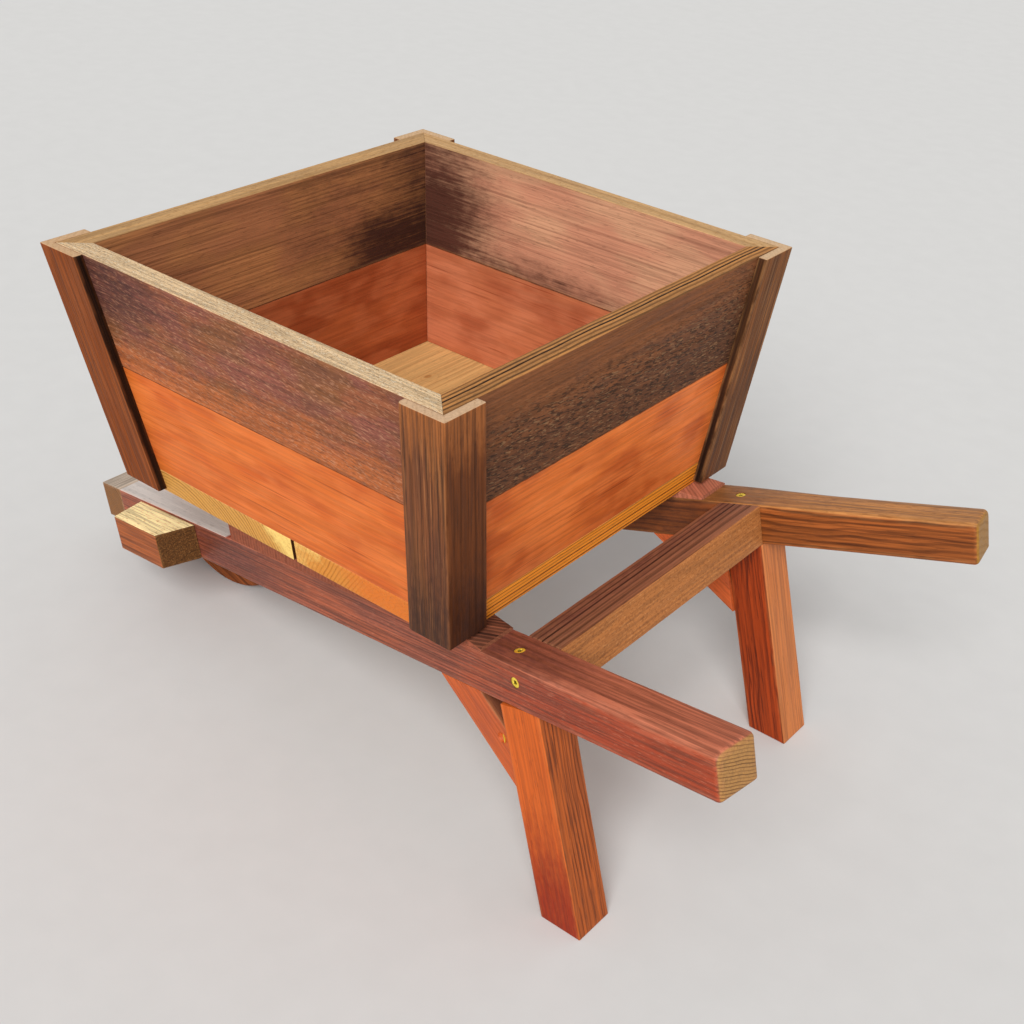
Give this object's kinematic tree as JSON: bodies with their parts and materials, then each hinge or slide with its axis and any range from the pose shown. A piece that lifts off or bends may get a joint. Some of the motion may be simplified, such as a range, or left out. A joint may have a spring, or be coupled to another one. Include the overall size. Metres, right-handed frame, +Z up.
{
  "type": "wheelbarrow planter",
  "caption": "Wooden wheelbarrow planter: a flared board box with corner trims on sloping handled rails, braced legs behind and a solid disc wheel turning on an axle in front.",
  "frame": {"origin": "on the ground under the middle of the whole object", "axes": "+X forward to the wheel, +Y to the left side, +Z up"},
  "size_m": [0.7948, 0.4186, 0.407],
  "materials": {
    "upper_board_wood": "weathered, matt",
    "lower_board_wood": "oiled, satin",
    "trim_wood": "weathered, matt",
    "floor_wood": "planed, matt",
    "rail_wood": "oiled, satin",
    "leg_wood": "oiled, satin",
    "block_wood": "planed, matt",
    "wheel_wood": "oiled, satin",
    "steel": "bright drawn",
    "brass": "bright"
  },
  "bodies": {
    "frame": {"left_upper_board": "upper_board_wood", "left_lower_board": "lower_board_wood", "right_upper_board": "upper_board_wood", "right_lower_board": "lower_board_wood", "front_upper_board": "upper_board_wood", "front_lower_board": "lower_board_wood", "rear_upper_board": "upper_board_wood", "rear_lower_board": "lower_board_wood", "front_floor_board": "floor_wood", "front_left_corner_trim": "trim_wood", "front_right_corner_trim": "trim_wood", "rear_floor_board": "floor_wood", "rear_left_corner_trim": "trim_wood", "rear_right_corner_trim": "trim_wood", "front_crosspiece": "rail_wood", "rear_stretcher": "rail_wood", "left_rail": "rail_wood", "left_wedge": "rail_wood", "left_leg": "leg_wood", "left_brace": "leg_wood", "left_axle_block": "block_wood", "left_spacer": "steel", "right_rail": "rail_wood", "right_wedge": "rail_wood", "right_leg": "leg_wood", "right_brace": "leg_wood", "right_axle_block": "block_wood", "right_spacer": "steel", "axle": "steel", "rail_top_screws": "brass", "rail_side_screws": "brass", "crosspiece_screws": "brass", "wedge_screws": "brass", "block_screws": "brass", "brace_screws": "brass"},
    "wheel": {"wheel_left_ply": "wheel_wood", "wheel_middle_ply": "wheel_wood", "wheel_right_ply": "wheel_wood", "wheel_screws": "brass"}
  },
  "joints": [
    {"name": "wheel_spin", "type": "hinge", "parent": "frame", "child": "wheel", "pos_m": [0.25728, 0, 0.0825], "axis": [0, 1, 0], "continuous": true}
  ]
}
